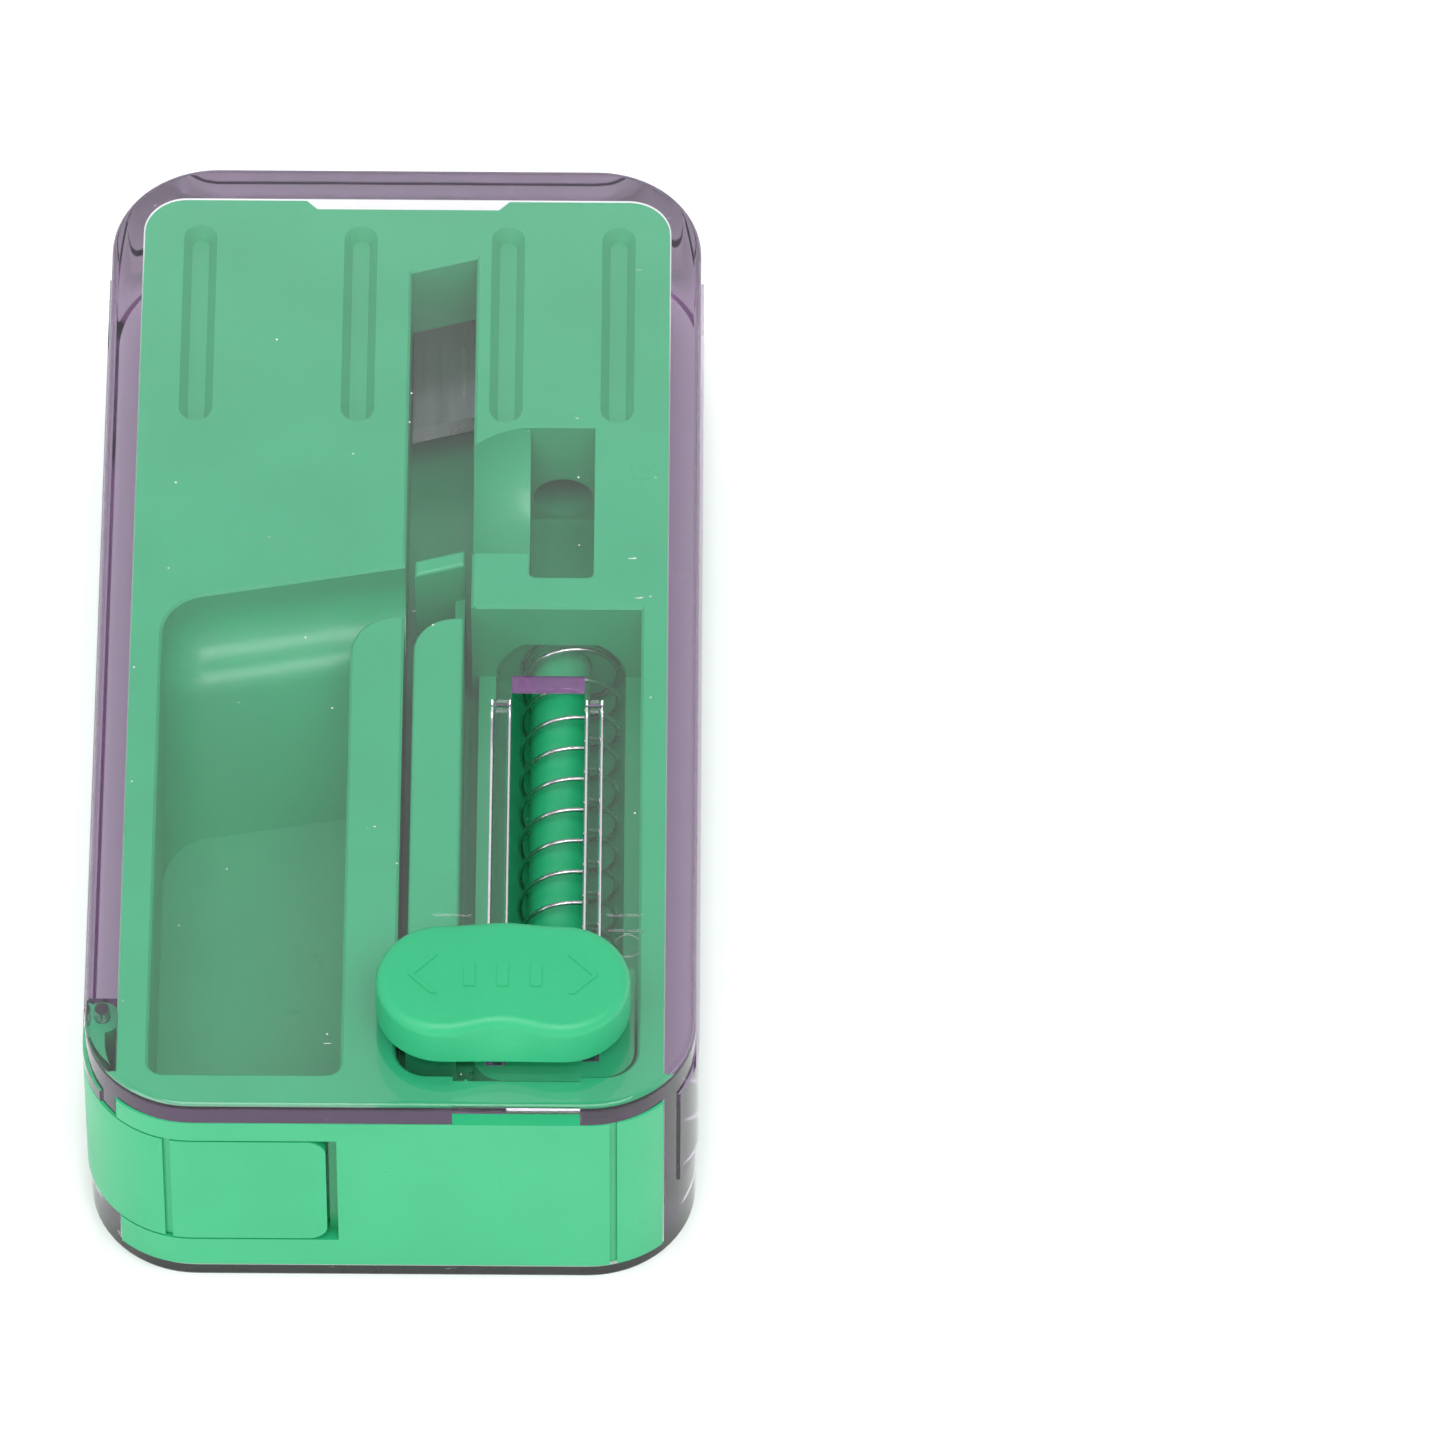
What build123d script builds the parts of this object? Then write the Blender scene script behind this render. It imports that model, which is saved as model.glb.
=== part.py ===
from build123d import *
import os
from math import cos, radians, sin, tan

# A pocket pill splitter: a clear case around a fixed core, with a sprung slider that carries a
# tablet along a channel onto a fixed blade, a storage bin and a small door.
# Millimetres. X is to the right, Y to the back and Z up. The origin is at the bottom centre of the case.

os.makedirs("parts", exist_ok=True)

# ---- case ----
CASE_W = 50.0
CASE_L = 97.0
CASE_H = 24.0
CORNER_R = 8.8
TOP_T = 2.4
BOTTOM_T = 1.6
BACK_T = 2.3
CAVITY_X = 22.2  # half the width of the cavity
CAVITY_R = 3.6
TOP_ROUND = 0.6
BOTTOM_ROUND = 0.5
RIB_T = 0.25
RIB_Y = (-44.6, 39.0)
RIB_Z = (8.5, 20.5)

FRONT_Y = -CASE_L / 2
BACK_Y = CASE_L / 2
BODY_W = CASE_W - 2 * RIB_T
SINK = 0.01  # how far an added piece reaches into what it joins
PAST = 1.0  # how far a cut runs past the surface that it opens
CEILING_Z = CASE_H - TOP_T
CAVITY_BACK_Y = BACK_Y - BACK_T

# ---- slot for the button's stem, rails and marks under the top plate ----
SLOT_X = (9.4, 15.4)
SLOT_Y = (-42.0, -5.0)
RELIEF_X = (5.1, 15.4)
RELIEF_H = 1.5
RAIL_LEFT_X = (7.7, 9.3)
RAIL_RIGHT_X = (15.5, 16.9)
RAIL_Y = (-42.0, -6.4)
RAIL_H = 1.5
RAIL_ROUND = 0.35
MARK_H = 0.08
MARK_W = 0.18
FRAME_MARKS = (((3.2, 6.4), (-30.3, -28.2)), ((17.3, 20.4), (-29.8, -28.1)))
RING_MARK = (19.1, -31.2)
RING_MARK_R = 1.2

# ---- core ----
FIT = 0.1  # clearance between the core and the case
CORE_Z = (BOTTOM_T + FIT, CEILING_Z - FIT)
CORE_BACK_Y = 45.2
LUG_INNER_X = 8.55  # the lugs reach from here out to the corners
LUG_SLANT = 0.9
FLOOR_Z = 4.2
SKEW = 16.0  # degrees, shared by the ridge, the channel's end and the blade
EDGE_BREAK = 0.22  # small chamfer round the openings in the deck

GROOVE_X = (-17.4, -3.9, 8.5, 17.8)
GROOVE_Y = (22.6, 43.4)
GROOVE_W = 2.8
GROOVE_DEPTH = 1.2
GROOVE_TAPER = 30.0

CHANNEL_X = (0.4, 5.9)
CHANNEL_FRONT_Y = -44.2
CHANNEL_END_Y = 38.5  # at the channel's left side
CHANNEL_FLOOR_Z = 8.0
FRONT_CORNER_R = 2.6

CHAMBER_X = (6.4, 20.0)
CHAMBER_Y = (CHANNEL_FRONT_Y, 3.2)
LEDGE_Z = 12.0
DIVIDER_Z = 9.0

ROD_X = 13.3
ROD_Z = 12.0
TROUGH_R = 5.4
SEAT_DEPTH = 1.2
SEAT_TOP_Z = 16.4

POCKET_X = (10.6, 16.0)
POCKET_Y = (6.3, 22.0)
POCKET_Z = 9.0
POCKET_R = 0.6
BORE_END_Y = 37.4
SCOOP_CENTRE = (11.5, 13.5, 24.0)
SCOOP_R = 9.0
SCOOP_FRONT_Y = 8.8

BIN_X = (-19.6, -4.0)
BIN_FRONT_Y = -44.2
BIN_BACK_Y = 7.4  # where the skewed back edge meets the channel
BIN_SKEW = 10.6
BIN_CORNER_R = 4.0
BIN_WALL_H = 5.2
BIN_LEDGE = (4.2, 0.9)  # run and drop of the ledge above the ramp
BIN_RAMP_RUN = 12.1
BIN_RAMP_R = 3.5
BIN_SIDE_R = 4.0
WALL_END_Y = 2.3
WALL_END_R = 3.8

# ---- front face ----
DOOR_T = 1.8
DOOR_GAP = 0.2
DOOR_RIGHT_X = -5.2
DOOR_Z = (5.4, 18.9)
DOOR_CORNER_R = 1.6
FINGER_W = 0.9
FINGER_DEPTH = 1.2
OUTLET_X = (-18.6, -6.6)
OUTLET_Z = (6.6, 17.6)
FRONT_GROOVE_X = 18.1
FRONT_GROOVE_W = 0.6
FRONT_GROOVE_DEPTH = 0.3

HINGE_X = -23.45
HINGE_Y = -37.6
HINGE_R = 1.5
HINGE_CLEAR = 0.25
PIN_R = 0.6
PIN_CLEAR = 0.05
PIN_Z = (3.4, 20.8)

# ---- slider ----
ROD_R = 2.45
ROD_CLEAR = 0.08
ROD_Y = (-38.0, 5.6)
CARRIAGE_Y = (-43.2, -32.4)
CARRIAGE_SIDE = 0.25
BOSS_Y = (-41.2, -35.3)
BOSS_GAP = 0.25
STEM_X = (10.7, 14.1)
STEM_Y = (-40.0, -36.5)
STEM_Z = 15.6

CARRIER_X = (1.2, 5.3)
CARRIER_FRONT_Y = -41.6
CARRIER_Z = (CHANNEL_FLOOR_Z + 0.15, CEILING_Z - 0.3)
CARRIER_END_R = 3.4
RIDGE_BACK_Y = 8.2  # at the carrier's left side
RIDGE_T = 1.6
POCKET_FLOOR_Z = 9.0
WEB_X = 4.5
WEB_TOP_Z = 16.5
SLIT_FRONT_Y = -3.8
ARM_Y = (-41.0, -36.0)
ARM_Z = (13.0, 18.0)

# ---- button ----
BUTTON_X = (-1.2, 19.4)
BUTTON_Y = (-44.2, -33.3)
BUTTON_Z = (CASE_H + 0.3, CASE_H + 4.6)
BUTTON_BULGE = 0.35  # how far the back edge bows out
BUTTON_TOP_ROUND = 1.0
THUMB_DEPTH = 1.0  # how far the thumb hollow reaches in at the top
THUMB_FOOT = 0.05
EMBOSS_H = 0.07
EMBOSS_ROOT = 0.1  # how deep its figures reach into the cap
BAR_PITCH = 2.7
BAR_SIZE = (0.9, 2.3)
ARROW_X = 7.7
ARROW_REACH = 1.9
ARROW_STROKE = 0.5
EMBOSS_Y = -38.6

# ---- blade ----
BLADE_Z = (12.8, 13.2)
BLADE_X = (0.55, 5.75)
BLADE_EDGE_Y = 27.0  # at the blade's left side
BLADE_TAIL_Y = 43.4
BLADE_BEVEL = 1.1
SLIT_CLEAR = 0.12
BLADE_PIN_Y = 41.9
BLADE_PIN_R = 0.8
BLADE_PIN_Z = (2.6, 17.0)

# ---- spring ----
SPRING_X = 14.1  # it hangs a little to the right of the rod
SPRING_R = 4.0
WIRE_R = 0.2
SPRING_Y = (CARRIAGE_Y[1] + 0.05, CHAMBER_Y[1] + SEAT_DEPTH - 0.05)


def block(x, y, z):
    """A box between two limits along each axis."""
    box = Box(x[1] - x[0], y[1] - y[0], z[1] - z[0], align=(Align.MIN, Align.MIN, Align.MIN))
    return Pos(x[0], y[0], z[0]) * box


def rod_along_y(x, z, radius, y):
    """A cylinder along Y between two limits."""
    disc = Plane(origin=(x, y[0], z), x_dir=(1, 0, 0), z_dir=(0, 1, 0)) * Circle(radius)
    return extrude(disc, y[1] - y[0])


def upright(x, y, radius, z):
    """A vertical cylinder between two heights."""
    return extrude(Pos(x, y, z[0]) * Circle(radius), z[1] - z[0])


def outline_solid(inset, z):
    """The case's rounded outline, drawn in by an inset, between two heights."""
    face = RectangleRounded(CASE_W - 2 * inset, CASE_L - 2 * inset, CORNER_R - inset)
    return extrude(Pos(0, 0, z[0]) * face, z[1] - z[0])


def skewed_front(x, y, z):
    """Everything in front of a skewed upright plane through the point x, y, between two heights."""
    reach = 200.0
    slope = tan(radians(SKEW))
    corners = [
        (x - reach, y - reach * slope),
        (x + reach, y + reach * slope),
        (x + reach, y - 3 * reach),
        (x - reach, y - 3 * reach),
    ]
    return extrude(Pos(0, 0, z[0]) * make_face(Polyline(*corners, close=True)), z[1] - z[0])


def frame_mark(x, y):
    """A thin raised rectangle under the top plate."""
    z = (CEILING_Z - MARK_H, CEILING_Z)
    inner = block((x[0] + MARK_W, x[1] - MARK_W), (y[0] + MARK_W, y[1] - MARK_W), z)
    bar_x = (x[0] + x[1]) / 2
    bar = block((bar_x, bar_x + MARK_W), (y[0], y[1]), z)
    return block(x, y, z) - inner + bar


def cavity_solid(inset, z):
    """The case's cavity, drawn in by an inset, with rounded back corners and an open front."""
    face = Rectangle(2 * (CAVITY_X - inset), CASE_L + 10.0, align=(Align.CENTER, Align.MAX))
    face = Pos(0, CAVITY_BACK_Y - inset, z[0]) * face
    face = fillet(face.vertices().group_by(Axis.Y)[-1], CAVITY_R - inset)
    return extrude(face, z[1] - z[0])


def hinge_room(clear):
    """The space that the door's barrel and edge take out of the left wall."""
    z = (DOOR_Z[0] - clear, DOOR_Z[1] + clear)
    back_y = HINGE_Y + HINGE_R + HINGE_CLEAR
    return block((-CASE_W, -CAVITY_X + 1.0), (FRONT_Y - 1.0, back_y), z)


def make_case_shell():
    face = RectangleRounded(BODY_W, CASE_L, CORNER_R)
    shell = extrude(face, CASE_H)
    shell = fillet(shell.faces().sort_by(Axis.Z)[-1].edges(), TOP_ROUND)
    shell = fillet(shell.faces().sort_by(Axis.Z)[0].edges(), BOTTOM_ROUND)
    shell += outline_solid(0, RIB_Z) & block((-CASE_W, CASE_W), RIB_Y, RIB_Z)
    shell -= cavity_solid(0, (BOTTOM_T, CEILING_Z))

    shell -= block(SLOT_X, SLOT_Y, (CEILING_Z - PAST, CASE_H + PAST))
    relief_y = (FRONT_Y - PAST, SLOT_Y[0] + PAST)
    shell -= block(RELIEF_X, relief_y, (CEILING_Z - PAST, CEILING_Z + RELIEF_H))
    for rail_x in (RAIL_LEFT_X, RAIL_RIGHT_X):
        rail = block(rail_x, RAIL_Y, (CEILING_Z - RAIL_H, CEILING_Z + SINK))
        shell += fillet(rail.faces().sort_by(Axis.Z)[0].edges(), RAIL_ROUND)

    for mark_x, mark_y in FRAME_MARKS:
        shell += frame_mark(mark_x, mark_y)
    ring = upright(*RING_MARK, RING_MARK_R, (CEILING_Z - MARK_H, CEILING_Z + SINK))
    ring -= upright(*RING_MARK, RING_MARK_R - MARK_W, (CEILING_Z - PAST, CEILING_Z + PAST))
    shell += ring

    shell -= hinge_room(DOOR_GAP)
    shell -= upright(HINGE_X, HINGE_Y, PIN_R, PIN_Z)
    return shell


def edge_break(outline):
    """A small flare where an opening's outline meets the deck."""
    return extrude(Pos(0, 0, CORE_Z[1] - EDGE_BREAK) * outline, EDGE_BREAK + SINK, taper=-45)


def bin_room():
    """The storage bin: its outline, cut off below by the floor, the ramp and the ledge above it."""
    slope = tan(radians(BIN_SKEW))
    neck_x = CHANNEL_X[0] + 0.6
    left_back = BIN_BACK_Y - (CHANNEL_X[0] - BIN_X[0]) * slope
    outline = make_face(
        Polyline(
            (BIN_X[0], BIN_FRONT_Y),
            (BIN_X[1], BIN_FRONT_Y),
            (BIN_X[1], WALL_END_Y),
            (neck_x, WALL_END_Y),
            (neck_x, BIN_BACK_Y + 0.6 * slope),
            (BIN_X[0], left_back),
            close=True,
        )
    )
    back_left = outline.vertices().filter_by_position(Axis.X, BIN_X[0] - 0.1, BIN_X[0] + 0.1)
    outline = fillet(back_left.sort_by(Axis.Y)[-1:], BIN_CORNER_R)
    wall_end = outline.vertices().filter_by_position(Axis.X, BIN_X[1] - 0.1, BIN_X[1] + 0.1)
    outline = fillet(wall_end.sort_by(Axis.Y)[-1:], WALL_END_R)
    front = outline.vertices().group_by(Axis.Y)[0]
    outline = fillet(front, 1.2)
    well = extrude(Pos(0, 0, FLOOR_Z) * outline, CASE_H - FLOOR_Z)

    # The ramp runs square to the skewed back wall, in a frame turned by the skew.
    wall_y = BIN_BACK_Y * cos(radians(BIN_SKEW)) - CHANNEL_X[0] * sin(radians(BIN_SKEW))
    ledge_z = CORE_Z[1] - BIN_WALL_H
    profile = make_face(
        Polyline(
            (wall_y + 20.0, CASE_H + 1.0),
            (wall_y + 20.0, ledge_z),
            (wall_y, ledge_z),
            (wall_y - BIN_LEDGE[0], ledge_z - BIN_LEDGE[1]),
            (wall_y - BIN_RAMP_RUN, FLOOR_Z),
            (wall_y - 120.0, FLOOR_Z),
            (wall_y - 120.0, CASE_H + 1.0),
            close=True,
        )
    )
    ramp_top = profile.vertices().sort_by_distance((wall_y - BIN_LEDGE[0], ledge_z - BIN_LEDGE[1]))[0]
    profile = fillet(ramp_top, BIN_RAMP_R)
    side = Plane(origin=(-60.0, 0, 0), x_dir=(0, 1, 0), z_dir=(1, 0, 0)) * profile
    room = well & (Rot(0, 0, BIN_SKEW) * extrude(side, 120.0))
    ramp_side = [
        e
        for e in room.edges()
        if e.center().X < BIN_X[0] + 0.05 and FLOOR_Z + 1.0 < e.center().Z < ledge_z - BIN_LEDGE[1] - 1.0
        and e.center().Y > -12.0
    ]
    room = fillet(ramp_side, BIN_SIDE_R)
    return room + edge_break(outline)


def make_core_body():
    core = outline_solid(0, CORE_Z) & cavity_solid(FIT, CORE_Z)
    core &= block((-CASE_W, CASE_W), (-CASE_L, CORE_BACK_Y), CORE_Z)
    for side in (-1, 1):
        lug = Polyline(
            (side * CASE_W, CORE_BACK_Y - 4.0),
            (side * CASE_W, BACK_Y),
            (side * LUG_INNER_X, CAVITY_BACK_Y - FIT),
            (side * (LUG_INNER_X - LUG_SLANT), CORE_BACK_Y),
            (side * (LUG_INNER_X - LUG_SLANT), CORE_BACK_Y - 4.0),
            close=True,
        )
        lug = extrude(Pos(0, 0, CORE_Z[0]) * make_face(lug), CORE_Z[1] - CORE_Z[0])
        core += lug & cavity_solid(FIT, CORE_Z)

    groove_mid = (GROOVE_Y[0] + GROOVE_Y[1]) / 2
    groove_run = GROOVE_Y[1] - GROOVE_Y[0] - GROOVE_W
    for x in GROOVE_X:
        slot = Pos(x, groove_mid, CORE_Z[1]) * Rot(0, 0, 90) * SlotCenterToCenter(groove_run, GROOVE_W)
        core -= extrude(slot, -GROOVE_DEPTH, taper=GROOVE_TAPER)

    channel_z = (CHANNEL_FLOOR_Z, CASE_H)
    channel = block(CHANNEL_X, (CHANNEL_FRONT_Y, CHANNEL_END_Y + 5.0), channel_z)
    channel &= skewed_front(CHANNEL_X[0], CHANNEL_END_Y, channel_z)
    front_corners = channel.edges().filter_by(Axis.Z).sort_by(Axis.Y)[0:2].sort_by(Axis.X)
    channel = fillet(front_corners[0], FRONT_CORNER_R)
    core -= channel
    core -= edge_break(Pos(0, 0, -CASE_H) * channel.faces().sort_by(Axis.Z)[-1])
    slit_z = (BLADE_Z[0] - SINK, BLADE_Z[1] + SINK)
    slit_x = (BLADE_X[0] - 2 * SINK, BLADE_X[1] + 2 * SINK)
    core -= block(slit_x, (CHANNEL_END_Y - PAST, BLADE_TAIL_Y + 2 * SINK), slit_z)
    core -= upright(sum(BLADE_X) / 2, BLADE_PIN_Y, BLADE_PIN_R, (0, BLADE_PIN_Z[1] + 0.05))

    upper = block(CHAMBER_X, CHAMBER_Y, (LEDGE_Z, CASE_H))
    front_corners = upper.edges().filter_by(Axis.Z).sort_by(Axis.Y)[0:2].sort_by(Axis.X)
    upper = fillet(front_corners[-1], FRONT_CORNER_R)
    core -= upper
    core -= edge_break(Pos(0, 0, -CASE_H) * upper.faces().sort_by(Axis.Z)[-1])
    core -= rod_along_y(ROD_X, ROD_Z, TROUGH_R, (CHAMBER_Y[0] + 0.6, CHAMBER_Y[1]))
    divider = (CHANNEL_X[1] - 0.1, CHAMBER_X[0] + 0.1)
    core -= block(divider, (CHANNEL_FRONT_Y, CHAMBER_Y[1]), (DIVIDER_Z, CASE_H))
    seat = rod_along_y(ROD_X, ROD_Z, TROUGH_R, (CHAMBER_Y[1] - 0.5, CHAMBER_Y[1] + SEAT_DEPTH))
    core -= seat & block((0, 30), (0, 10), (0, SEAT_TOP_Z))
    core -= rod_along_y(ROD_X, ROD_Z, ROD_R + ROD_CLEAR, (0, BORE_END_Y))

    pocket = block(POCKET_X, POCKET_Y, (POCKET_Z, CASE_H))
    core -= fillet(pocket.edges().filter_by(Axis.Z).group_by(Axis.Y)[0], POCKET_R)
    scoop = Pos(*SCOOP_CENTRE) * Sphere(SCOOP_R)
    core -= scoop & block(
        (CHANNEL_X[1] - 0.1, POCKET_X[0] + 0.1), (SCOOP_FRONT_Y, POCKET_Y[1]), (0, CASE_H)
    )

    core -= bin_room()

    core -= outlet_and_door_seat()
    z = (0, CASE_H)
    x = (FRONT_GROOVE_X - FRONT_GROOVE_W / 2, FRONT_GROOVE_X + FRONT_GROOVE_W / 2)
    core -= block(x, (FRONT_Y - PAST, FRONT_Y + 2 * PAST), z) - outline_solid(FRONT_GROOVE_DEPTH, z)
    return core


def outlet_and_door_seat():
    """The opening from the bin to the door, the seat that the door closes into and the finger recess."""
    z = (DOOR_Z[0] - DOOR_GAP, DOOR_Z[1] + DOOR_GAP)
    ring = outline_solid(-1.0, z) - outline_solid(DOOR_T + DOOR_GAP, z)
    seat = ring & block((-CASE_W, DOOR_RIGHT_X + DOOR_GAP), (FRONT_Y - 5, HINGE_Y + 4.0), z)
    finger_ring = outline_solid(-1.0, z) - outline_solid(FINGER_DEPTH, z)
    finger_x = (DOOR_RIGHT_X - 1.0, DOOR_RIGHT_X + FINGER_W)
    finger = finger_ring & block(finger_x, (FRONT_Y - 5, FRONT_Y + 5), z)
    outlet = block(OUTLET_X, (FRONT_Y - 1, BIN_FRONT_Y + 1.0), OUTLET_Z)
    outlet = fillet(outlet.edges().filter_by(Axis.Y), 1.5)
    barrel = upright(HINGE_X, HINGE_Y, HINGE_R + HINGE_CLEAR, z)
    return seat + finger + outlet + barrel


def make_storage_door():
    ring = outline_solid(0, DOOR_Z) - outline_solid(DOOR_T, DOOR_Z)
    panel = ring & block((-CASE_W, DOOR_RIGHT_X), (FRONT_Y - 5, HINGE_Y), DOOR_Z)
    free_end = panel.edges().filter_by(Axis.Y).group_by(Axis.X)[-1]
    panel = fillet(free_end, DOOR_CORNER_R)
    groove_x = (-FRONT_GROOVE_X - FRONT_GROOVE_W / 2, -FRONT_GROOVE_X + FRONT_GROOVE_W / 2)
    groove_y = (FRONT_Y - PAST, FRONT_Y + 2 * PAST)
    panel -= block(groove_x, groove_y, DOOR_Z) - outline_solid(FRONT_GROOVE_DEPTH, DOOR_Z)
    barrel = upright(HINGE_X, HINGE_Y, HINGE_R, DOOR_Z)
    return panel + barrel - upright(HINGE_X, HINGE_Y, PIN_R + PIN_CLEAR, (0, CASE_H))


def make_hinge_pin():
    return upright(HINGE_X, HINGE_Y, PIN_R, PIN_Z)


def button_section(z, dip):
    """The button's outline at one height: round ends, and a front edge that dips in at its middle."""
    radius = (BUTTON_Y[1] - BUTTON_Y[0]) / 2
    left = BUTTON_X[0] + radius
    right = BUTTON_X[1] - radius
    front, back = BUTTON_Y
    mid_x = sum(BUTTON_X) / 2
    mid_y = sum(BUTTON_Y) / 2
    along = (-1, 0, 0)
    edges = [
        Spline(
            (left, back, z),
            (mid_x, back + BUTTON_BULGE, z),
            (right, back, z),
            tangents=((1, 0, 0), (1, 0, 0)),
        ),
        ThreePointArc((right, back, z), (BUTTON_X[1], mid_y, z), (right, front, z)),
        Spline(
            (right, front, z),
            ((mid_x + right) / 2, front + dip / 2, z),
            (mid_x, front + dip, z),
            ((mid_x + left) / 2, front + dip / 2, z),
            (left, front, z),
            tangents=(along, along),
        ),
        ThreePointArc((left, front, z), (BUTTON_X[0], mid_y, z), (left, back, z)),
    ]
    return make_face(edges)


def make_thumb_button():
    mid_x = sum(BUTTON_X) / 2
    top = BUTTON_Z[1]
    cap = loft([button_section(BUTTON_Z[0], THUMB_FOOT), button_section(top, THUMB_DEPTH)])
    cap = fillet(cap.faces().sort_by(Axis.Z)[-1].edges(), BUTTON_TOP_ROUND)

    # Three bars between two arrow heads are embossed on the top.
    for i in (-1, 0, 1):
        x = mid_x + i * BAR_PITCH
        bar_x = (x - BAR_SIZE[0] / 2, x + BAR_SIZE[0] / 2)
        bar_y = (EMBOSS_Y - BAR_SIZE[1] / 2, EMBOSS_Y + BAR_SIZE[1] / 2)
        cap += block(bar_x, bar_y, (top - EMBOSS_ROOT, top + EMBOSS_H))
    for side in (-1, 1):
        tip_x = mid_x + side * ARROW_X
        root_x = tip_x - side * ARROW_REACH
        for lean in (-1, 1):
            chevron = Polyline(
                (tip_x, EMBOSS_Y),
                (root_x, EMBOSS_Y + lean * ARROW_REACH),
                (root_x - side * ARROW_STROKE, EMBOSS_Y + lean * ARROW_REACH),
                (tip_x - side * ARROW_STROKE, EMBOSS_Y),
                close=True,
            )
            cap += extrude(Pos(0, 0, top - EMBOSS_ROOT) * make_face(chevron), EMBOSS_H + EMBOSS_ROOT)

    stem = block(STEM_X, STEM_Y, (STEM_Z, BUTTON_Z[0] + 0.5))
    return cap + stem


def make_slide_carriage():
    """The block under the button, with the boss in the slot and the arm that drives the carrier."""
    x = (CHAMBER_X[0] + CARRIAGE_SIDE, CHAMBER_X[1] - CARRIAGE_SIDE)
    top = CEILING_Z - RAIL_H - 0.2
    upper = block(x, CARRIAGE_Y, (LEDGE_Z + 0.1, top))
    upper = fillet(upper.edges().filter_by(Axis.Z).group_by(Axis.Y)[0], FRONT_CORNER_R)
    lower = rod_along_y(ROD_X, ROD_Z, TROUGH_R - 0.2, CARRIAGE_Y) & block(x, CARRIAGE_Y, (0, LEDGE_Z + 0.2))
    boss_x = (SLOT_X[0] + BOSS_GAP, SLOT_X[1] - BOSS_GAP)
    boss = block(boss_x, BOSS_Y, (top - 0.5, CEILING_Z + RELIEF_H - 0.15))
    arm = block((CARRIER_X[1] - 1.6, x[0] + 1.0), ARM_Y, ARM_Z)
    carriage = upper + lower + boss + arm
    carriage -= rod_along_y(ROD_X, ROD_Z, ROD_R, (ROD_Y[0], CARRIAGE_Y[1] + 1.0))
    return carriage - block(STEM_X, STEM_Y, (STEM_Z, CASE_H))


def make_plunger_rod():
    rod = rod_along_y(ROD_X, ROD_Z, ROD_R, ROD_Y)
    return chamfer(rod.faces().sort_by(Axis.Y)[-1].edges(), 0.5)


def make_pill_carrier():
    """The strip in the channel: a rounded strip, a pocket for one tablet and the skewed ridge."""
    strip_size = (CARRIER_X[1] - CARRIER_X[0], WALL_END_Y - CARRIER_FRONT_Y)
    strip_face = Rectangle(*strip_size, align=(Align.MIN, Align.MIN))
    strip_face = Pos(CARRIER_X[0], CARRIER_FRONT_Y, CARRIER_Z[0]) * strip_face
    strip_face = fillet(strip_face.vertices().group_by(Axis.Y)[-1].sort_by(Axis.X)[0], CARRIER_END_R)
    height = CARRIER_Z[1] - CARRIER_Z[0]
    strip = extrude(strip_face, height)
    strip = fillet(strip.faces().sort_by(Axis.Z)[-1].edges(), 0.3)

    body = block(CARRIER_X, (WALL_END_Y - 4.0, RIDGE_BACK_Y + 3.0), CARRIER_Z)
    behind = skewed_front(CARRIER_X[0], RIDGE_BACK_Y, CARRIER_Z)
    ridge = body & behind
    ridge -= skewed_front(CARRIER_X[0], RIDGE_BACK_Y - RIDGE_T, (0, CASE_H))
    ridge = fillet(ridge.faces().sort_by(Axis.Z)[-1].edges(), 0.35)
    floor = (body & behind) & block((0, 10), (-10, 20), (0, POCKET_FLOOR_Z))
    web = (body & behind) & block((WEB_X, 10), (-10, 20), (0, WEB_TOP_Z))
    carrier = strip + ridge + floor + web

    slit_z = (BLADE_Z[0] - SLIT_CLEAR, BLADE_Z[1] + SLIT_CLEAR)
    carrier -= block((0, 10), (SLIT_FRONT_Y, 20), slit_z)
    return carrier - block((CARRIER_X[1] - 1.6, 10), ARM_Y, ARM_Z)


def make_cutting_blade():
    flat = block(BLADE_X, (BLADE_EDGE_Y - 1.0, BLADE_TAIL_Y), BLADE_Z)
    flat -= skewed_front(BLADE_X[0], BLADE_EDGE_Y, (0, CASE_H))

    # One ground bevel on the top side, running down to the edge.
    thickness = BLADE_Z[1] - BLADE_Z[0]
    edge_y = BLADE_EDGE_Y * cos(radians(SKEW)) - BLADE_X[0] * sin(radians(SKEW))
    bevel = Polyline(
        (edge_y - 2.0, BLADE_Z[0] + 0.03),
        (edge_y, BLADE_Z[0] + 0.03),
        (edge_y + BLADE_BEVEL, BLADE_Z[1]),
        (edge_y + BLADE_BEVEL, BLADE_Z[1] + thickness),
        (edge_y - 2.0, BLADE_Z[1] + thickness),
        close=True,
    )
    side = Plane(origin=(-10.0, 0, 0), x_dir=(0, 1, 0), z_dir=(1, 0, 0)) * make_face(bevel)
    flat -= Rot(0, 0, SKEW) * extrude(side, 40.0)
    return flat - upright(sum(BLADE_X) / 2, BLADE_PIN_Y, BLADE_PIN_R, (0, CASE_H))


def make_blade_pin():
    return upright(sum(BLADE_X) / 2, BLADE_PIN_Y, BLADE_PIN_R, BLADE_PIN_Z)


def make_return_spring():
    """The spring's envelope: a tube around the rod."""
    tube = rod_along_y(SPRING_X, ROD_Z, SPRING_R + WIRE_R, SPRING_Y)
    return tube - rod_along_y(SPRING_X, ROD_Z, SPRING_R - WIRE_R, (SPRING_Y[0] - 1, SPRING_Y[1] + 1))


PARTS = {
    "case_shell": make_case_shell,
    "core_body": make_core_body,
    "storage_door": make_storage_door,
    "hinge_pin": make_hinge_pin,
    "thumb_button": make_thumb_button,
    "slide_carriage": make_slide_carriage,
    "plunger_rod": make_plunger_rod,
    "pill_carrier": make_pill_carrier,
    "cutting_blade": make_cutting_blade,
    "blade_pin": make_blade_pin,
    "return_spring": make_return_spring,
}

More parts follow.
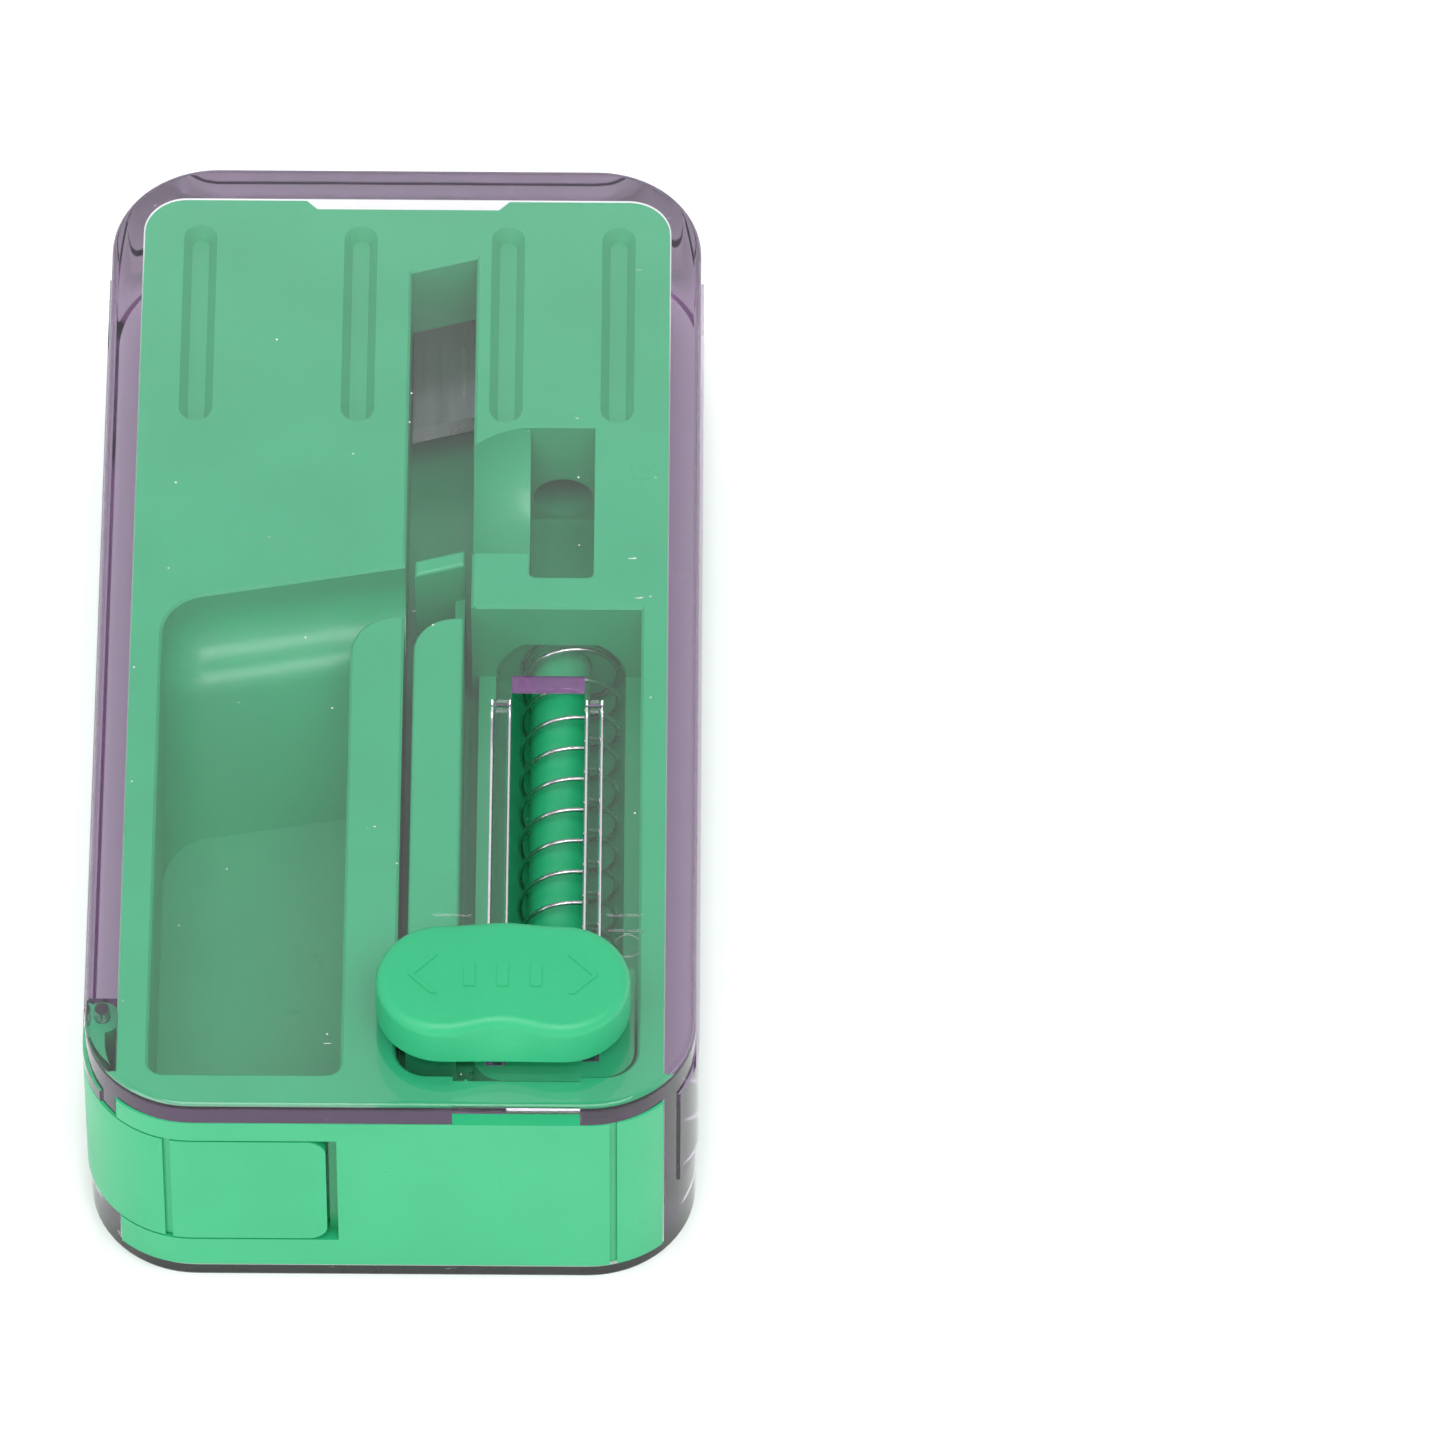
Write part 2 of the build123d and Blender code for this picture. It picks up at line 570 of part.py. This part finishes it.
for name, make in PARTS.items():
    export_step(make(), f"parts/{name}.step")
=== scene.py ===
from math import cos, pi, radians, sin, tan

import bmesh
import bpy
from mathutils import Matrix, Vector


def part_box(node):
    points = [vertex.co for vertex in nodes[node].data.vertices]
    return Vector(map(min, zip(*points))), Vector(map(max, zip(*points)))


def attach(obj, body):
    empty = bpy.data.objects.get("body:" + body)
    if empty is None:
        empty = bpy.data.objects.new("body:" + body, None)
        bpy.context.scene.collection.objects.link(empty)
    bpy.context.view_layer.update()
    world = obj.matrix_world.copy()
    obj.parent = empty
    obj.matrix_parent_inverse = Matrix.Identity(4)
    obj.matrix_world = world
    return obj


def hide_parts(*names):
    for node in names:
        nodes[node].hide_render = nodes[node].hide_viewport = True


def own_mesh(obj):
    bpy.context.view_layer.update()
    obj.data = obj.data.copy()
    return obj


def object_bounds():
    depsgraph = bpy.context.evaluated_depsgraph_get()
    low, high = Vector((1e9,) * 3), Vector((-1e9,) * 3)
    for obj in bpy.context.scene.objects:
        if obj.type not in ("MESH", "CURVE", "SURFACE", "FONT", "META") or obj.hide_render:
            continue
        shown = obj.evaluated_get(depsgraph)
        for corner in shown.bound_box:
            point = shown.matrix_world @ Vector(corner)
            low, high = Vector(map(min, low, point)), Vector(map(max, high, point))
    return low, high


# The looks of the pocket pill splitter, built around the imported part. Metres, X right, Y back, Z up.

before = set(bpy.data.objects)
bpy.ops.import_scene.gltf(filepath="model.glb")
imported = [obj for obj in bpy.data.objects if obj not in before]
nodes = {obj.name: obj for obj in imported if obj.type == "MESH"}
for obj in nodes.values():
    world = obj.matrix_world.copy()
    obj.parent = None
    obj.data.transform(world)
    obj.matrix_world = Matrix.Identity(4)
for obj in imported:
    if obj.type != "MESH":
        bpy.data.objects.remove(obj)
cad_low, cad_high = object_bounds()
scene = bpy.context.scene
MM = 0.001

# ---- camera: where it stands, seen from the middle of the case ----
CAMERA_ELEVATION = 53.2  # degrees, like the other angles here
CAMERA_YAW = -1.89
CAMERA_ROLL = -1.14
CAMERA_DISTANCE = 1.267
CAMERA_LENS = 379.9  # millimetres, like the sensor
CAMERA_SENSOR = 36.0
CAMERA_LOOKS_AT = (0, 0, 12 * MM)
AIM_RIGHT = 1.2094  # the camera turns to the right of the case, which leaves the case at the left of the view
AIM_UP = -0.0324

# ---- light ----
# The sky is brightest in the band that the clear plate mirrors to the camera. Below the first step it has
# SKY_LOW. Each step runs from one sine of the elevation to another, and then has its new strength.
SKY_LOW = 0.84
SKY_STEPS = ((0.70, 0.74, 1.45), (0.776, 0.800, 0.98), (0.84, 0.88, 0.40))  # from, to, new strength
KEY_STRENGTH = 8.6  # watts, above and in front
KEY_PLACE = (0.08, -0.5, 1.15)
KEY_SIZE = (0.9, 0.6)
FILL_STRENGTH = 2.4  # watts, lower and to the left
FILL_PLACE = (-0.7, -0.8, 0.7)
FILL_SIZE = (0.6, 0.5)
FLOOR_GLOW = 0.20  # lifts the paper round the case to white, and fades out beneath it
GLOW_INSET = 1.0 * MM  # how far inside the case's outline the glow starts
GLOW_FADE = 2.5 * MM
FLOOR_DROP = 0.00015  # the case stands on low moulding marks, not flat on the floor

# ---- colours, linear ----
GREEN = (0.022, 0.43, 0.182)
BRIGHT_STEEL = (0.70, 0.71, 0.72)
DULL_STEEL = (0.50, 0.50, 0.51)
DARK_STEEL = (0.17, 0.22, 0.19)
DARKER_STEEL = (0.11, 0.15, 0.13)
LILAC = (0.30, 0.0, 0.36)
CASE_ABSORPTION = 36.0  # per metre, times one minus the colour


def camera():
    """A long lens above and in front of the case, which stands left of the middle of the view."""
    e, y, r = radians(CAMERA_ELEVATION), radians(CAMERA_YAW), radians(CAMERA_ROLL)
    forward = Vector((sin(y) * cos(e), cos(y) * cos(e), -sin(e)))
    right = Vector((cos(y), -sin(y), 0))
    up = right.cross(forward)
    right, up = cos(r) * right + sin(r) * up, -sin(r) * right + cos(r) * up
    place = Vector(CAMERA_LOOKS_AT) - CAMERA_DISTANCE * forward
    a, b = tan(radians(AIM_RIGHT)), tan(radians(AIM_UP))
    aim = (forward + a * right + b * up).normalized()
    side = (right - a * forward).normalized()
    top = side.cross(aim)
    turn = Matrix((side, top, -aim)).transposed()
    data = bpy.data.cameras.new("camera")
    data.lens = CAMERA_LENS
    data.sensor_width = CAMERA_SENSOR
    data.clip_start = 0.05
    data.clip_end = 50.0
    obj = bpy.data.objects.new("camera", data)
    obj.matrix_world = Matrix.Translation(place) @ turn.to_4x4()
    scene.collection.objects.link(obj)
    scene.camera = obj


class Graph:
    """A short way to write a node tree: each call makes a node and returns its first output."""

    def __init__(self, tree):
        self.tree = tree
        tree.nodes.clear()

    def node(self, kind, settings=(), **inputs):
        n = self.tree.nodes.new(kind)
        for key, value in dict(settings).items():
            setattr(n, key, value)
        for key, value in inputs.items():
            self.put(n, key.replace("_", " "), value)
        return n

    def put(self, n, key, value):
        socket = n.inputs[int(key)] if key.isdigit() else n.inputs[key]
        if isinstance(value, bpy.types.NodeSocket):
            self.tree.links.new(value, socket)
        elif isinstance(value, bpy.types.Node):
            self.tree.links.new(value.outputs[0], socket)
        else:
            if socket.type == "RGBA" and len(value) == 3:
                value = (*value, 1.0)
            socket.default_value = value

    def math(self, operation, a, b=0.0):
        n = self.node("ShaderNodeMath", {"operation": operation})
        self.put(n, "0", a)
        self.put(n, "1", b)
        return n.outputs[0]

    def span(self, value, low, high, out_low, out_high):
        """value from low..high to out_low..out_high, clamped."""
        n = self.node("ShaderNodeMapRange")
        names = ("Value", "From Min", "From Max", "To Min", "To Max")
        for key, v in zip(names, (value, low, high, out_low, out_high)):
            self.put(n, key, v)
        return n.outputs[0]

    def mix(self, factor, a, b):
        n = self.node("ShaderNodeMix", {"data_type": "RGBA"})
        self.put(n, "0", factor)
        for socket, v in ((n.inputs[6], a), (n.inputs[7], b)):
            if isinstance(v, bpy.types.NodeSocket):
                self.tree.links.new(v, socket)
            else:
                socket.default_value = (*v, 1.0)
        return n.outputs[2]

    def noise(self, where, scale, detail=2.0, rough=0.5):
        n = self.node("ShaderNodeTexNoise", Vector=where, Scale=scale, Detail=detail, Roughness=rough)
        return n.outputs[0]

    def place(self, turn=(0, 0, 0), stretch=(1, 1, 1)):
        """Object coordinates, which are the frame's own metres, turned and stretched."""
        n = self.node("ShaderNodeTexCoord")
        m = self.node("ShaderNodeMapping", Vector=n.outputs["Object"])
        m.inputs["Rotation"].default_value = [radians(t) for t in turn]
        m.inputs["Scale"].default_value = stretch
        return m.outputs[0]

    def specks(self, where, cell, size, share):
        """Small round specks: a share of the cells, each cell metres wide, holds one of about that size."""
        n = self.node("ShaderNodeTexVoronoi", Vector=where, Scale=1.0 / cell)
        chance = self.node("ShaderNodeSeparateColor")
        self.put(chance, "0", n.outputs["Color"])
        near = self.span(n.outputs["Distance"], size / cell * 0.35, size / cell * 0.6, 1.0, 0.0)
        chosen = self.math("LESS_THAN", chance.outputs[0], share)
        return self.math("MULTIPLY", near, chosen)

    def scratches(self, turn, cell, width, share, bend=0.0):
        """Short hairlines that run one way: a share of the stretched cells holds one. bend is in metres."""
        where = self.place((0, 0, turn), (0.16, 1.0, 1.0))
        if bend:
            drift = self.node("ShaderNodeTexNoise", Vector=where, Scale=5000.0, Detail=0.0)
            push = self.node("ShaderNodeVectorMath", {"operation": "MULTIPLY_ADD"})
            self.put(push, "0", drift.outputs["Color"])
            self.put(push, "1", (bend * 0.1, bend, bend))
            self.put(push, "2", where)
            where = push.outputs[0]
        return self.specks(where, cell, width, share)


def new_material(name):
    m = bpy.data.materials.new(name)
    m.use_nodes = True
    return m, Graph(m.node_tree)


def plastic(name, colour, rough, grain, dust):
    """Moulded plastic: a fine grain, slow changes of tone and gloss, and a few specks and fibres of dust."""
    m, g = new_material(name)
    here = g.place()
    slow = g.noise(here, 90.0, 3.0)
    fine = g.noise(here, 2600.0, 4.0, 0.6)
    dull = tuple(c * 0.93 for c in colour)
    tone = g.mix(g.span(slow, 0.35, 0.65, 0.0, 1.0), colour, dull)
    tone = g.mix(g.span(fine, 0.3, 0.7, 0.0, 0.22), tone, tuple(c * 0.84 for c in colour))
    speck = g.specks(here, 2.6 * MM, 0.17 * MM, dust)
    lint = g.scratches(28.0, 1.5 * MM, 0.13 * MM, dust * 0.4, 0.5 * MM)
    bright = g.math("MAXIMUM", speck, lint)
    tone = g.mix(g.math("MULTIPLY", bright, 0.8), tone, (0.80, 0.88, 0.84))
    gloss = g.span(g.math("ADD", slow, g.math("MULTIPLY", fine, 0.5)), 0.45, 1.05, rough - 0.05, rough + 0.07)
    height = g.math("ADD", fine, g.math("MULTIPLY", slow, 3.0))
    bump = g.node("ShaderNodeBump", Height=height, Strength=grain, Distance=0.00004)
    shader = g.node("ShaderNodeBsdfPrincipled", Base_Color=tone, Roughness=gloss, Normal=bump)
    shader.inputs["IOR"].default_value = 1.49
    out = g.node("ShaderNodeOutputMaterial")
    g.put(out, "Surface", shader)
    return m


def clear_plastic(name):
    """Polished clear plastic with a lilac cast that grows with depth, hairline scratches and dust."""
    m, g = new_material(name)
    here = g.place()
    speck = g.specks(here, 2.8 * MM, 0.17 * MM, 0.30)
    hairs = g.scratches(37.0, 1.9 * MM, 0.12 * MM, 0.12, 0.6 * MM)
    hairs = g.math("MAXIMUM", hairs, g.scratches(-64.0, 2.1 * MM, 0.12 * MM, 0.10, 0.6 * MM))
    mark = g.math("MAXIMUM", speck, g.math("MULTIPLY", hairs, 0.9))
    slow = g.noise(here, 60.0, 2.0)
    fine = g.noise(here, 1500.0, 3.0)
    gloss = g.span(fine, 0.3, 0.7, 0.012, 0.03)
    gloss = g.math("ADD", gloss, g.math("MULTIPLY", hairs, 0.3))
    bump = g.node("ShaderNodeBump", Height=slow, Strength=0.05, Distance=0.0002)
    shader = g.node("ShaderNodeBsdfPrincipled", Roughness=gloss, Normal=bump)
    shader.inputs["Base Color"].default_value = (1.0, 1.0, 1.0, 1.0)
    shader.inputs["IOR"].default_value = 1.49
    g.put(shader, "Transmission Weight", g.math("SUBTRACT", 1.0, g.math("MULTIPLY", mark, 0.8)))
    clear = g.node("ShaderNodeBsdfTransparent")
    clear.inputs["Color"].default_value = (1.0, 1.0, 1.0, 1.0)
    # Shadow rays and diffuse rays pass straight through, so light reaches the core inside.
    path = g.node("ShaderNodeLightPath")
    through = g.node("ShaderNodeMixShader")
    g.put(through, "0", g.math("MAXIMUM", path.outputs["Is Shadow Ray"], path.outputs["Is Diffuse Ray"]))
    g.put(through, "1", shader)
    g.put(through, "2", clear)
    depth = g.node("ShaderNodeVolumeAbsorption")
    depth.inputs["Color"].default_value = (*LILAC, 1.0)
    depth.inputs["Density"].default_value = CASE_ABSORPTION
    out = g.node("ShaderNodeOutputMaterial")
    g.put(out, "Surface", through)
    g.put(out, "Volume", depth)
    return m


def steel(name, light_tone, dark_tone, rough, turn, stretch):
    """Drawn or ground steel: fine marks along one direction."""
    m, g = new_material(name)
    marks = g.noise(g.place(turn, stretch), 900.0, 4.0, 0.6)
    tone = g.mix(g.span(marks, 0.3, 0.7, 0.0, 1.0), light_tone, dark_tone)
    gloss = g.span(marks, 0.3, 0.7, rough - 0.05, rough + 0.1)
    bump = g.node("ShaderNodeBump", Height=marks, Strength=0.15, Distance=0.00002)
    shader = g.node("ShaderNodeBsdfPrincipled", Base_Color=tone, Roughness=gloss, Normal=bump)
    shader.inputs["Metallic"].default_value = 1.0
    out = g.node("ShaderNodeOutputMaterial")
    g.put(out, "Surface", shader)
    return m


def finish_node(name, material):
    """A CAD node gets a material in each of its slots."""
    for slot in nodes[name].material_slots:
        slot.material = material


# ---- the return spring, wound as real wire ----
SPRING_WIRE_R = 0.2 * MM
SPRING_PITCH = 3.16 * MM
SPRING_DEAD_TURNS = 1.0  # closed turns at each end
DEAD_PITCH = 2.15 * SPRING_WIRE_R
PITCH_BLEND = 0.5  # turns that the pitch takes to change
SPRING_PHASE = 0.0
STEPS_PER_TURN = 44
WIRE_SIDES = 10


def spring():
    """The wire as a coil mesh, closed at its ends, which takes the place of the CAD tube."""
    low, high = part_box("return_spring")
    centre = (low + high) / 2
    coil_r = (high.x - low.x) / 2 - SPRING_WIRE_R
    length = high.y - low.y - 2 * SPRING_WIRE_R
    active = (length - 2 * SPRING_DEAD_TURNS * DEAD_PITCH) / SPRING_PITCH
    turns = active + 2 * SPRING_DEAD_TURNS

    # How far along the axis the wire is after each step. The pitch opens up between the closed end turns.
    rows = [0.0]
    step = 1.0 / STEPS_PER_TURN
    while (len(rows) - 1) * step < turns:
        mid = (len(rows) - 0.5) * step
        from_start = mid - SPRING_DEAD_TURNS + PITCH_BLEND / 2
        from_end = turns - SPRING_DEAD_TURNS + PITCH_BLEND / 2 - mid
        ramp = min(1.0, max(0.0, min(from_start, from_end) / PITCH_BLEND))
        rows.append(rows[-1] + step * (DEAD_PITCH + (SPRING_PITCH - DEAD_PITCH) * ramp))
    stretch = length / rows[-1]
    bm = bmesh.new()
    rings = []
    for i, y in enumerate(rows):
        angle = 2 * pi * (i / STEPS_PER_TURN + SPRING_PHASE)
        radial = Vector((sin(angle), 0, cos(angle)))
        along = Vector((cos(angle) * coil_r, SPRING_PITCH / (2 * pi), -sin(angle) * coil_r)).normalized()
        across = along.cross(radial)
        spot = Vector((centre.x, low.y + SPRING_WIRE_R + y * stretch, centre.z)) + coil_r * radial
        ring = []
        for k in range(WIRE_SIDES):
            a = 2 * pi * k / WIRE_SIDES
            ring.append(bm.verts.new(spot + SPRING_WIRE_R * (cos(a) * radial + sin(a) * across)))
        rings.append(ring)
    for r0, r1 in zip(rings, rings[1:]):
        for k in range(WIRE_SIDES):
            j = (k + 1) % WIRE_SIDES
            bm.faces.new((r0[k], r0[j], r1[j], r1[k]))
    bm.faces.new(list(reversed(rings[0])))
    bm.faces.new(rings[-1])
    bmesh.ops.recalc_face_normals(bm, faces=bm.faces)
    for f in bm.faces:
        f.smooth = len(f.verts) == 4
    mesh = bpy.data.meshes.new("spring_coil")
    bm.to_mesh(mesh)
    bm.free()
    obj = bpy.data.objects.new("spring_coil", mesh)
    scene.collection.objects.link(obj)
    obj.data.materials.append(spring_steel)
    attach(obj, "case")
    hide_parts("return_spring")
    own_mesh(obj)
    return obj


def floor():
    """White paper, a little below the case."""
    bm = bmesh.new()
    bmesh.ops.create_grid(bm, x_segments=8, y_segments=8, size=3.0)
    mesh = bpy.data.meshes.new("floor")
    bm.to_mesh(mesh)
    bm.free()
    obj = bpy.data.objects.new("floor", mesh)
    obj.location.z = -FLOOR_DROP
    scene.collection.objects.link(obj)
    m, g = new_material("floor_white")
    grain = g.noise(g.place(), 400.0, 3.0)
    tone = g.mix(grain, (0.93, 0.93, 0.93), (0.90, 0.90, 0.90))
    shader = g.node("ShaderNodeBsdfPrincipled", Base_Color=tone)
    shader.inputs["Roughness"].default_value = 0.9
    spot = g.node("ShaderNodeSeparateXYZ", Vector=g.node("ShaderNodeTexCoord").outputs["Object"])
    out_x = g.math("SUBTRACT", g.math("ABSOLUTE", spot.outputs[0]), cad_high.x - GLOW_INSET)
    out_y = g.math("SUBTRACT", g.math("ABSOLUTE", spot.outputs[1]), cad_high.y - GLOW_INSET)
    away = g.span(g.math("MAXIMUM", out_x, out_y), 0.0, GLOW_FADE, 0.0, FLOOR_GLOW)
    shader.inputs["Emission Color"].default_value = (1.0, 1.0, 1.0, 1.0)
    g.put(shader, "Emission Strength", away)
    out = g.node("ShaderNodeOutputMaterial")
    g.put(out, "Surface", shader)
    obj.data.materials.append(m)


def area_light(name, place, size, strength):
    """A soft box facing the case."""
    data = bpy.data.lights.new(name, "AREA")
    data.shape = "RECTANGLE"
    data.size, data.size_y = size
    data.energy = strength
    obj = bpy.data.objects.new(name, data)
    obj.location = place
    obj.rotation_mode = "QUATERNION"
    obj.rotation_quaternion = (-Vector(place)).to_track_quat("-Z", "Y")
    scene.collection.objects.link(obj)


def light():
    """The sky with its bright band, a key light and a fill light."""
    world = bpy.data.worlds.new("studio")
    scene.world = world
    world.use_nodes = True
    g = Graph(world.node_tree)
    way = g.node("ShaderNodeSeparateXYZ", Vector=g.node("ShaderNodeTexCoord").outputs["Generated"])
    strength, before = SKY_LOW, SKY_LOW
    for start, end, after in SKY_STEPS:
        strength = g.math("ADD", strength, g.span(way.outputs[2], start, end, 0.0, after - before))
        before = after
    sky = g.node("ShaderNodeBackground", Strength=strength)
    sky.inputs["Color"].default_value = (1.0, 1.0, 1.0, 1.0)
    out = g.node("ShaderNodeOutputWorld")
    g.put(out, "Surface", sky)
    area_light("key", KEY_PLACE, KEY_SIZE, KEY_STRENGTH)
    area_light("fill", FILL_PLACE, FILL_SIZE, FILL_STRENGTH)


scene.view_settings.view_transform = "Standard"
# Light runs a long way inside clear walls, and would go black at the usual limits.
scene.cycles.max_bounces = 40
scene.cycles.diffuse_bounces = 8
scene.cycles.glossy_bounces = 32
scene.cycles.transmission_bounces = 32
scene.cycles.transparent_max_bounces = 24
camera()
light()
floor()

core_plastic = plastic("core_plastic_look", GREEN, 0.31, 0.22, 0.12)
slider_plastic = plastic("slider_plastic_look", GREEN, 0.36, 0.25, 0.12)
door_plastic = plastic("door_plastic_look", GREEN, 0.40, 0.3, 0.10)
button_plastic = plastic("button_plastic_look", GREEN, 0.42, 0.35, 0.2)
clear_case = clear_plastic("clear_case_look")
blade_steel = steel("blade_steel_look", DARK_STEEL, DARKER_STEEL, 0.28, (0, 0, -16.0), (1.0, 0.05, 1.0))
pin_steel = steel("pin_steel_look", BRIGHT_STEEL, DULL_STEEL, 0.3, (0, 0, 0), (1.0, 1.0, 0.05))
spring_steel = steel("spring_steel_look", BRIGHT_STEEL, DULL_STEEL, 0.2, (0, 0, 0), (1.0, 1.0, 1.0))

for node_name, look in (
    ("case_shell", clear_case),
    ("core_body", core_plastic),
    ("storage_door", door_plastic),
    ("hinge_pin", pin_steel),
    ("thumb_button", button_plastic),
    ("slide_carriage", slider_plastic),
    ("plunger_rod", slider_plastic),
    ("pill_carrier", slider_plastic),
    ("cutting_blade", blade_steel),
    ("blade_pin", pin_steel),
):
    finish_node(node_name, look)

spring()
